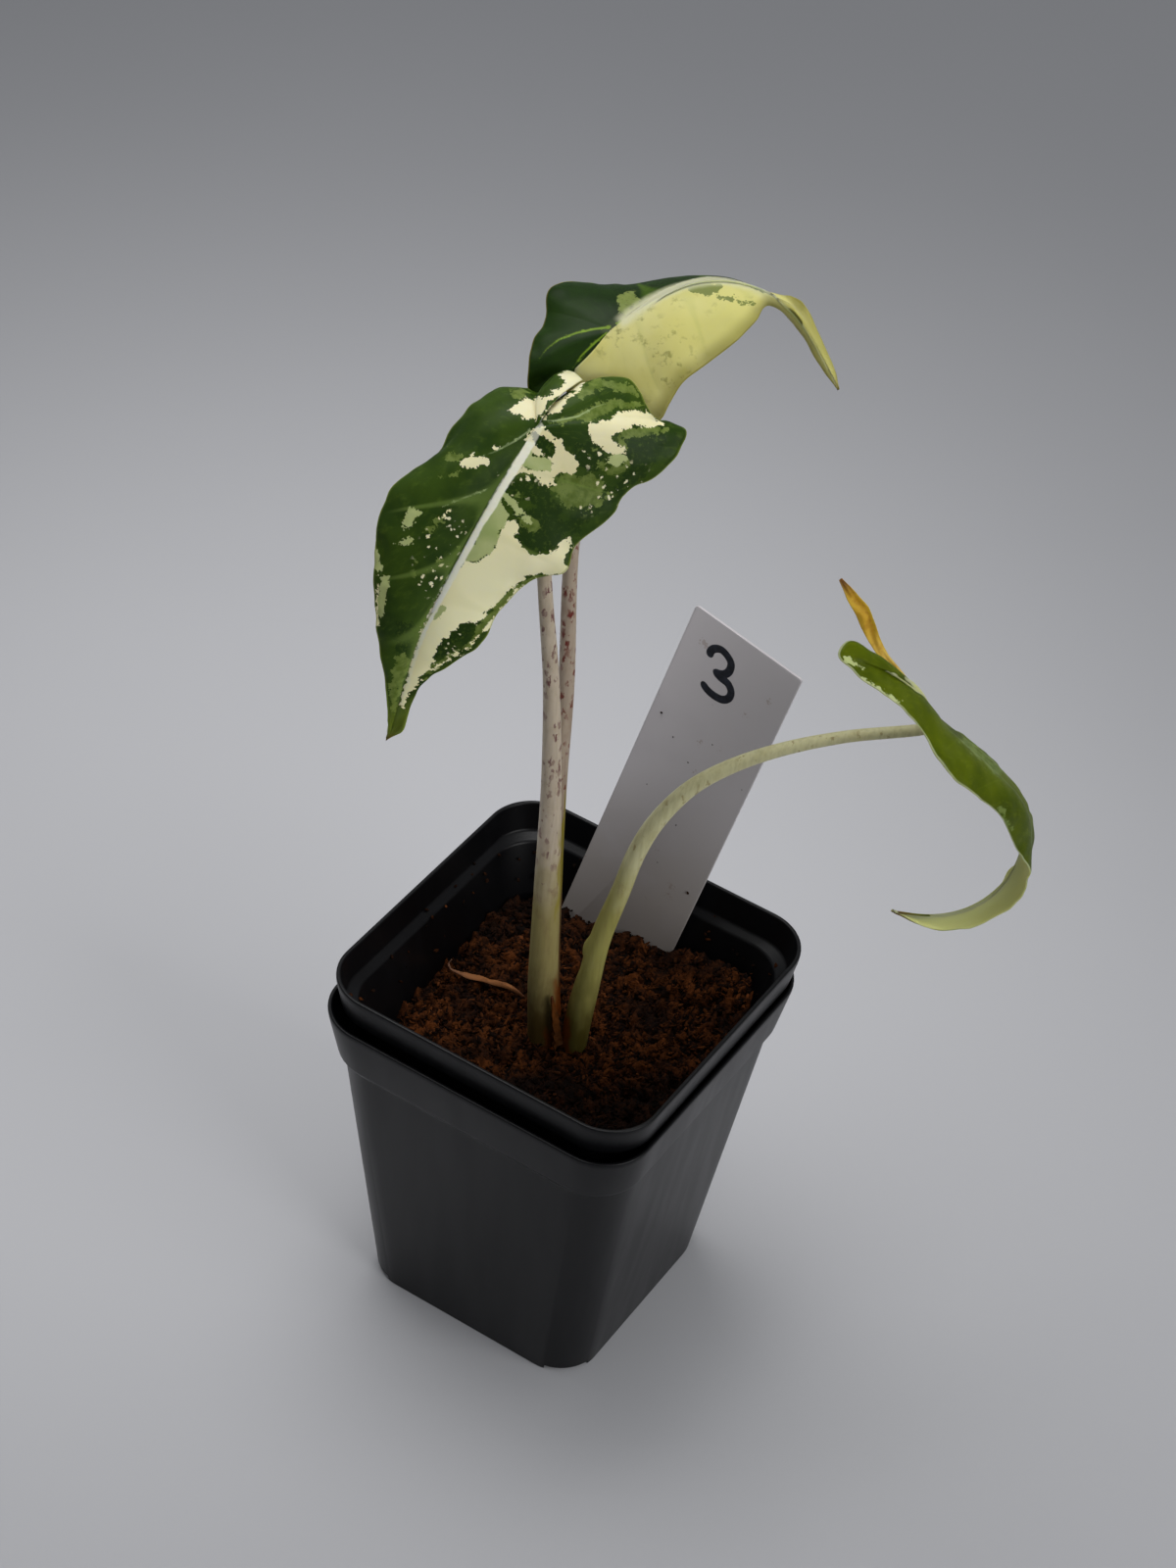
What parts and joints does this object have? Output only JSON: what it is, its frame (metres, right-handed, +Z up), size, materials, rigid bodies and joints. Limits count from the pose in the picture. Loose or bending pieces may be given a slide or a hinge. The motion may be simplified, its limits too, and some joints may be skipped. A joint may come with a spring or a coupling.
{
  "type": "potted variegated alocasia",
  "caption": "Young variegated alocasia with arrow-shaped marbled leaves on thin speckled stalks, in a square black nursery pot that stands in a second one, with a plain white plant label.",
  "frame": {"origin": "centre of the outer pot's underside, on the surface that the pot stands on", "axes": "+Z up through the pot, +X and +Y square to the pot's walls, with the wide leaf's tip hanging towards -Y and the low leaf reaching out towards +X"},
  "size_m": [0.1109, 0.0808, 0.2246],
  "materials": {
    "black_plastic": "satin moulded",
    "compost": "loose coarse coconut peat",
    "pale_stalk": "satin, speckled",
    "green_stalk": "satin, speckled",
    "green_leaf": "waxy leaf, marbled with cream",
    "cream_leaf": "waxy leaf, cream with dark green",
    "dry_leaf": "dry leaf tissue",
    "dry_skin": "dry skin",
    "white_plastic": "satin sheet"
  },
  "bodies": {
    "root": {"outer_pot": "black_plastic", "inner_pot": "black_plastic", "soil": "compost", "stalk_front": "pale_stalk", "stalk_back": "pale_stalk", "stalk_right": "green_stalk", "blade_front": "green_leaf", "blade_back": "cream_leaf", "blade_right": "green_leaf", "dry_lobe": "dry_leaf", "dry_sheath": "dry_skin", "dry_scrap": "dry_skin", "label": "white_plastic"}
  },
  "joints": []
}
